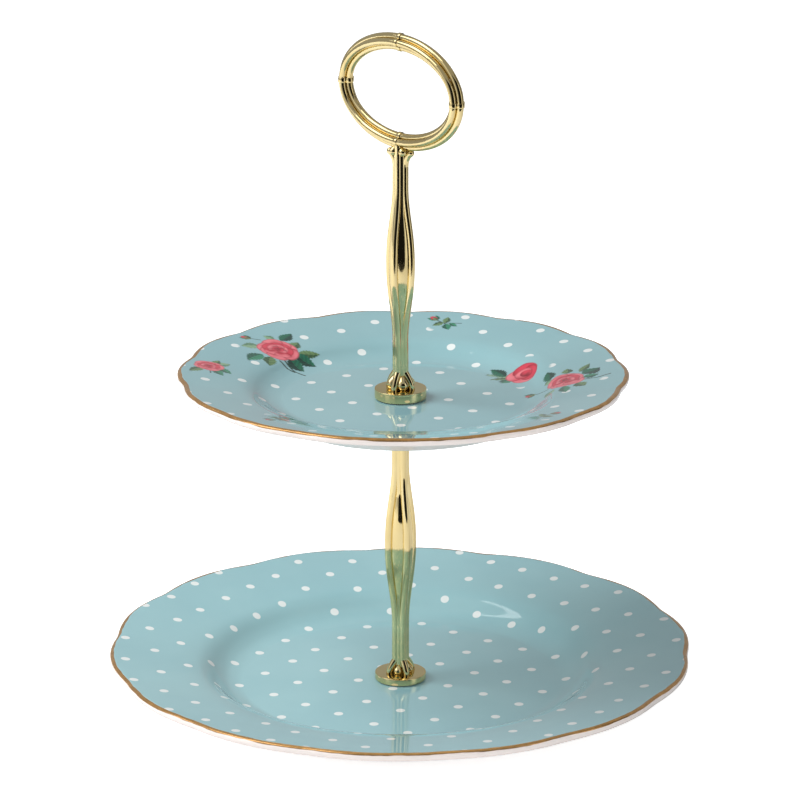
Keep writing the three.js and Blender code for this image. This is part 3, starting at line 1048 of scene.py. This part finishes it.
def clouded_finish(name, cloud, colours, grain=None, roughness=None, **settings):
    """Two colours in soft clouds and, where a grain is given, a roughness that varies too."""
    finish, tree, shader = start_finish(name, **settings)
    mist = spread_value(tree, noise(tree, *cloud), 0, 1)
    plug(tree, shader.inputs["Base Color"], mix_colours(tree, mist, *[rgba(c) for c in colours]))
    if grain:
        plug(tree, shader.inputs["Roughness"], spread_value(tree, noise(tree, *grain), *roughness))
    return finish, tree, shader


# %% [markdown]
# ### Glaze
# The plates are duck-egg blue with rows of off-white dots on a square lattice, which follow the surface
# because they are printed on the same flat transfer as the roses. The lip is gilded by brush, so the
# gold's inner edge wavers. Under the lip the body is left white, and the foot is unglazed.

# %% The plates' glaze, dots, roses and gilding in one finish
GLAZE = ink(146, 186, 191)
GLAZE_DEEP = ink(140, 181, 187)
DOT = ink(226, 232, 230)
GILDING = ink(208, 158, 92)
GILT_METAL = 0.72
WHITE_BODY = ink(240, 230, 225)
DOT_PITCH = 19.5
DOT_RADIUS = 2.1
DOT_STRAY = 0.09
HALF_CELL = (0.5, 0.5, 0.5)
GILT_WAVER = 0.25
GILT_EDGE = 0.1
GILT_ROUGHNESS = 0.22


def plate_glaze(name, lattice_turn, lattice_origin, gilt_from, gilt_to, painted_brightness):
    finish, tree, shader = start_finish(name, IOR=1.52, Coat_Weight=0.6, Coat_Roughness=0.015, Coat_IOR=1.5)
    flat = add_node(tree, "UVMap", uv_map="transfer").outputs["UV"]
    per_pitch = 1 / MM / MAP_SCALE / DOT_PITCH
    turn = math.radians(lattice_turn)
    ox, oy = lattice_origin[0] / DOT_PITCH, lattice_origin[1] / DOT_PITCH
    shift = (-(ox * math.cos(turn) + oy * math.sin(turn)), -(-ox * math.sin(turn) + oy * math.cos(turn)), 0)
    rows = add_node(tree, "Mapping", {"Vector": flat, "Rotation": (0, 0, -turn), "Scale": (per_pitch,) * 3,
                                      "Location": shift}).outputs["Vector"]
    cell = vector_node(tree, "FLOOR", vector_node(tree, "ADD", rows, HALF_CELL))
    stray = add_node(tree, "TexWhiteNoise", {"Vector": cell}).outputs["Color"]
    drift = vector_node(tree, "MULTIPLY", vector_node(tree, "SUBTRACT", stray, HALF_CELL), (DOT_STRAY,) * 3)
    centre = vector_node(tree, "MULTIPLY", vector_node(tree, "ADD", cell, drift), (1, 1, 0))
    gap = vector_node(tree, "DISTANCE", rows, centre, "Value")
    edge = DOT_RADIUS / DOT_PITCH
    dot = spread_value(tree, gap, 1.0, 0.0, edge * 0.93, edge * 1.07)
    bare = add_node(tree, "Attribute", attribute_name="bare").outputs["Fac"]
    dot = math_node(tree, "MULTIPLY", dot, math_node(tree, "SUBTRACT", 1.0, bare))
    cloud = spread_value(tree, noise(tree, 18, 3), 0, 1)
    # The glaze colour is scaled per plate as painted light: lighter where the plate gets less light, darker
    # where it gets more.
    colour = mix_colours(tree, cloud, rgba(GLAZE * painted_brightness), rgba(GLAZE_DEEP * painted_brightness))
    colour = mix_colours(tree, dot, colour, rgba(DOT))
    spray = add_node(tree, "Attribute", attribute_name="spray")
    colour = mix_colours(tree, spray.outputs["Alpha"], colour, spray.outputs["Color"])
    lip_gap = add_node(tree, "Attribute", attribute_name="lip_gap").outputs["Fac"]
    waver = spread_value(tree, noise(tree, 60, 2), -GILT_WAVER, GILT_WAVER)
    gilt_gap = math_node(tree, "ADD", lip_gap, waver)
    below = spread_value(tree, gilt_gap, 0.0, 1.0, gilt_from - GILT_EDGE, gilt_from + GILT_EDGE)
    within = spread_value(tree, gilt_gap, 1.0, 0.0, gilt_to - GILT_EDGE, gilt_to + GILT_EDGE)
    gilt = math_node(tree, "MULTIPLY", below, within)
    white = math_node(tree, "LESS_THAN", gilt_gap, gilt_from)
    colour = mix_colours(tree, white, colour, rgba(WHITE_BODY))
    gold_cloud = spread_value(tree, noise(tree, 220, 2), 0, 1)
    gold = mix_colours(tree, gold_cloud, rgba(GILDING), rgba(GILDING * 0.8))
    colour = mix_colours(tree, gilt, colour, gold)
    plug(tree, shader.inputs["Base Color"], colour)
    plug(tree, shader.inputs["Metallic"], math_node(tree, "MULTIPLY", gilt, GILT_METAL))
    sheen = spread_value(tree, noise(tree, 90, 2), 0.05, 0.09)
    rough = add_node(tree, "Mix", {0: gilt, 2: sheen, 3: GILT_ROUGHNESS}).outputs[0]
    plug(tree, shader.inputs["Roughness"], rough)
    emboss(tree, shader, 140, 1, 0.02, 0.0004)
    return finish


# The lower plate's glaze is painted lighter, against the shade the upper plate casts on it, and the upper
# plate's darker, as it sits nearer the key light.
lower_glaze = plate_glaze("duck_egg_glaze_with_dots", 10.5, (-38.5, 18.8), 1.1, 2.7, 1.08)
upper_glaze = plate_glaze("duck_egg_glaze_with_roses", -10.8, (2.2, 36.0), 0.9, 2.7, 0.97)


# %% The bare foot ring
BISCUIT = (ink(226, 220, 212), ink(204, 197, 188))
foot_biscuit, tree, shader = clouded_finish("unglazed_foot", (900, 3), BISCUIT, Roughness=0.7)
emboss(tree, shader, 2500, 2, 0.3, 0.0002)


def finish_plate(piece, plate, glaze):
    piece.data.materials.append(glaze)
    piece.data.materials.append(foot_biscuit)
    inner, outer = plate["foot"][3][0] - 0.4, plate["foot"][4][0] + 0.4
    level = plate["foot"][3][1] + 0.25
    for face in piece.data.polygons:
        radius = math.hypot(*face.center[:2]) / MM
        if inner < radius < outer and face.center.z / MM < level:
            face.material_index = 1


finish_plate(lower_plate, LOWER, lower_glaze)
finish_plate(upper_plate, UPPER, upper_glaze)


# %% [markdown]
# ### Gold plate
# The castings are brass, polished and plated in a pale lemon gold. Polishing leaves them nearly mirror
# bright with a faint waviness, and handling leaves slightly duller patches.

# %% Gold
PALE_GOLD = ink(238, 220, 168)
PALE_GOLD_WARM = ink(228, 206, 148)
gold_finish, tree, shader = clouded_finish(
    "pale_gold_plate", (40, 3), (PALE_GOLD, PALE_GOLD_WARM), (120, 3), (0.035, 0.09),
    Metallic=1.0, Specular_Tint=(1, 0.98, 0.9, 1))
emboss(tree, shader, 260, 1, 0.05, 0.0003)

# %% Zinc-plated steel, soft clear vinyl and undyed nylon
steel_finish = clouded_finish(
    "zinc_plated_steel", (300, 3), (ink(196, 198, 196), ink(170, 172, 168)), (700, 3), (0.22, 0.4),
    Metallic=1.0)[0]
vinyl_finish = clouded_finish(
    "clear_vinyl", (500, 2), (ink(226, 232, 228), ink(214, 222, 218)), (350, 2), (0.2, 0.35),
    IOR=1.53, Transmission_Weight=0.75)[0]
nylon_finish = clouded_finish(
    "natural_nylon", (400, 2), (ink(238, 236, 226), ink(226, 223, 210)), (800, 2), (0.4, 0.55),
    Subsurface_Weight=0.1, Subsurface_Scale=0.001)[0]

# %% [markdown]
# ## Hanging each piece on its body
# Every new piece rides on the body of the node it stands for, so it turns and lifts with it.

# %% Body, node, slot and finish of each piece
GOLD, STEEL = ("gold_metal", gold_finish), ("screw_steel", steel_finish)
VINYL, NYLON = ("clear_vinyl", vinyl_finish), ("white_nylon", nylon_finish)
PORCELAIN = ("porcelain", None)  # the plates have their two finishes already
WORKSHOP = [
    (lower_plate, "lower_tier", "lower_plate", PORCELAIN),
    (upper_plate, "upper_tier", "upper_plate", PORCELAIN),
    (lower_sleeve, "lower_tier", "lower_bush", NYLON),
    (upper_sleeve, "upper_tier", "upper_bush", NYLON),
    (base_screw, "base_fixing", "base_screw", STEEL),
    (stud, "handle", "joining_stud", STEEL),
    (base_washer, "base_fixing", "base_washer", GOLD),
    (lower_disc, "pillar", "lower_flange", GOLD),
    (lower_column, "pillar", "lower_column", GOLD),
    (support_disc, "pillar", "support_flange", GOLD),
    (upper_disc, "handle", "upper_flange", GOLD),
    (upper_column, "handle", "upper_column", GOLD),
    (ring, "handle", "ring_handle", GOLD),
    *[(gasket, body, node, VINYL) for gasket, node, body in gaskets],
    *[(band, "handle", f"ring_collar_{place}", GOLD) for place, band in bindings.items()],
]
for piece, body, node, (slot, finish) in WORKSHOP:
    if finish:
        piece.data.materials.clear()
        piece.data.materials.append(finish)
    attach(piece, body)
    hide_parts(node)
print("pieces:", len(WORKSHOP))

# %% [markdown]
# ## Studio
# The stand is polished metal and glossy glaze, so it shows the room more than its own colour. The room is
# a pale floor with a large soft light on the left and a weaker one in front. Reflections don't show these
# lights: they show white and black cards, which nothing else sees. The floor and the backdrop are
# brighter to the camera alone, so that they look white without washing out the stand.

# %% Floor and room light
CAMERA_AZIMUTH = 47.0
FLOOR_RADIUS = 9.0
FLOOR_GLOW = 0.75
ROOM_LIGHT = 0.36
ROOM_SEEN = 1.05


def studio_place(azimuth, distance, height):
    """A place in the studio, by its direction from the camera's side, in metres."""
    way = math.radians(azimuth + CAMERA_AZIMUTH)
    return Vector((math.sin(way) * distance, -math.cos(way) * distance, height))


def pale_floor():
    clear_bench()
    bpy.ops.mesh.primitive_circle_add(vertices=96, radius=FLOOR_RADIUS, fill_type="NGON", location=(0, 0, 0))
    floor = named("studio_floor")
    paper = ((0.9,) * 3, (0.88,) * 3)
    finish, tree, shader = clouded_finish("floor_paper", (1.5, 1), paper, Roughness=0.9)
    shader.inputs["Emission Color"].default_value = (1, 1, 1, 1)
    seen = add_node(tree, "LightPath").outputs["Is Camera Ray"]
    plug(tree, shader.inputs["Emission Strength"], math_node(tree, "MULTIPLY", seen, FLOOR_GLOW))
    floor.data.materials.append(finish)


pale_floor()
world = bpy.data.worlds.new("studio_room")
bpy.context.scene.world = world
world.use_nodes = True
room = world.node_tree
seen = add_node(room, "LightPath").outputs["Is Camera Ray"]
strength = add_node(room, "Mix", {0: seen, 2: ROOM_LIGHT, 3: ROOM_SEEN}).outputs[0]
room.nodes["Background"].inputs["Color"].default_value = (0.97, 0.98, 1, 1)
room.links.new(strength, room.nodes["Background"].inputs["Strength"])


# %% Soft lights
PLATES = (0, 0, 0.12)
PILLAR = (0, 0, 0.3)


def softbox(name, place, width, height, power):
    clear_bench()
    bpy.ops.object.light_add(type="AREA", location=place)
    light = bpy.context.object
    light.name = light.data.name = name
    light.data.shape = "RECTANGLE"
    light.data.size, light.data.size_y = width, height
    light.data.energy = power
    light.rotation_euler = (Vector(PLATES) - place).to_track_quat("-Z", "Y").to_euler()
    light.visible_glossy = False
    return light


softbox("key_softbox", studio_place(-88, 1.25, 1.5), 1.2, 1.2, 37)
softbox("fill_softbox", studio_place(10, 1.6, 0.9), 1.2, 0.8, 9)


# %% Cards that only reflections see
def card(name, place, target, width, height, strength):
    clear_bench()
    bpy.ops.mesh.primitive_plane_add(size=1, location=place)
    piece = named(name)
    piece.scale = (width, height, 1)
    piece.rotation_euler = (Vector(target) - place).to_track_quat("Z", "Y").to_euler()
    bpy.ops.object.transform_apply(location=True, rotation=True, scale=True)
    finish = bpy.data.materials.new(name)
    finish.use_nodes = True
    tree = finish.node_tree
    tree.nodes.clear()
    light = add_node(tree, "Emission", {"Color": (1, 1, 1, 1), "Strength": strength})
    out = tree.nodes.new("ShaderNodeOutputMaterial")
    tree.links.new(light.outputs[0], out.inputs["Surface"])
    piece.data.materials.append(finish)
    for ray in ("camera", "diffuse", "shadow", "transmission", "volume_scatter"):
        setattr(piece, f"visible_{ray}", False)
    return piece


card("black_room", studio_place(10, 0.66, 0.50), (0, 0, 0.50), 0.96, 1.00, 0.01)
card("white_card_left", studio_place(-60, 0.9, 0.55), PILLAR, 0.34, 1.2, 0.8)
card("white_card_above", studio_place(-85, 0.95, 1.35), PLATES, 1.0, 1.0, 2.8)
card("white_card_right", studio_place(62, 0.9, 0.45), PILLAR, 0.26, 1.0, 1.0)
card("black_card_right", studio_place(92, 0.8, 0.5), PILLAR, 0.36, 1.2, 0.01)

# %% [markdown]
# ## Camera
# A long lens, a little above the upper plate, so that both plates show as shallow ovals.

# %% Place the camera
FOCAL_LENGTH = 169.36
SENSOR_WIDTH = 36
SIDE_SHIFT = -0.0006
CAMERA_PLACE = (1.2021, -1.1210, 0.6533)
PITCH = math.radians(17.18)
camera_data = bpy.data.cameras.new("studio_camera")
camera_data.lens = FOCAL_LENGTH
camera_data.sensor_width = SENSOR_WIDTH
camera_data.shift_x = SIDE_SHIFT
camera = bpy.data.objects.new("studio_camera", camera_data)
bpy.context.scene.collection.objects.link(camera)
camera.location = CAMERA_PLACE
camera.rotation_euler = (math.pi / 2 - PITCH, 0, math.radians(CAMERA_AZIMUTH))
bpy.context.scene.camera = camera
bpy.context.scene.view_settings.view_transform = "Standard"

# %% [markdown]
# ## Finish
# The scene is brought up to date.

# %% Close
bpy.context.view_layer.update()
